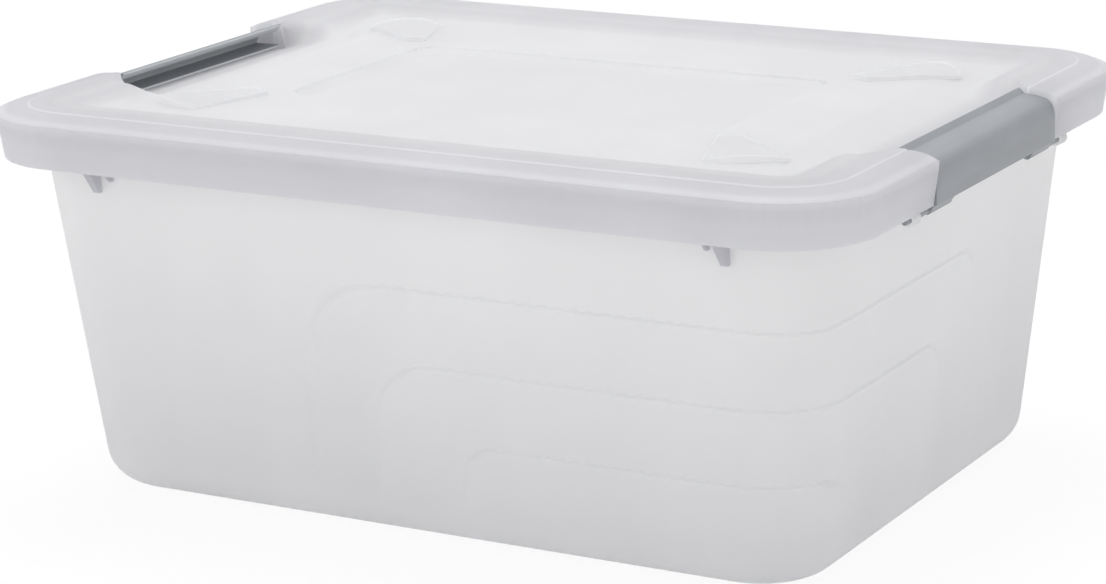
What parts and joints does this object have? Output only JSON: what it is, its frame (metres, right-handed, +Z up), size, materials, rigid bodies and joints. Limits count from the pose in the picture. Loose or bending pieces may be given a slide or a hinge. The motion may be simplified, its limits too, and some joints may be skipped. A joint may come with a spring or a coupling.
{
  "type": "stackable storage bin",
  "caption": "Translucent rectangular storage bin with tapered walls, a lift-off lid that carries a stacked bin, and grey end latches hinged under the rim.",
  "frame": {"origin": "under the middle of the bin, on the plane that the foot stands on", "axes": "+Z up, X along the length from the left latch to the right latch, the front long side faces -Y"},
  "size_m": [0.41, 0.3174, 0.1718],
  "materials": {
    "clear_plastic": "frosted, translucent polypropylene",
    "latch_plastic": "satin grey polypropylene"
  },
  "bodies": {
    "body": {"bin_body": "clear_plastic"},
    "lid": {"lid": "clear_plastic"},
    "right_latch": {"latch_right": "latch_plastic"},
    "left_latch": {"latch_left": "latch_plastic"}
  },
  "joints": [
    {"name": "latch_right_hinge", "type": "hinge", "parent": "body", "child": "right_latch", "pos_m": [0.1992, 0, 0.1475], "axis": [0, 1, 0], "range_deg": [0, 170]},
    {"name": "latch_left_hinge", "type": "hinge", "parent": "body", "child": "left_latch", "pos_m": [-0.1992, 0, 0.1475], "axis": [0, -1, 0], "range_deg": [0, 170]},
    {"name": "lid_lift", "type": "slide", "parent": "body", "child": "lid", "axis": [0, 0, 1], "range_m": [0, 0.01336]}
  ],
  "couplings": [
    {"joint": "latch_left_hinge", "follows": "latch_right_hinge", "ratio": 1},
    {"joint": "lid_lift", "follows": "latch_right_hinge", "m_per_rad": 0.0045}
  ]
}
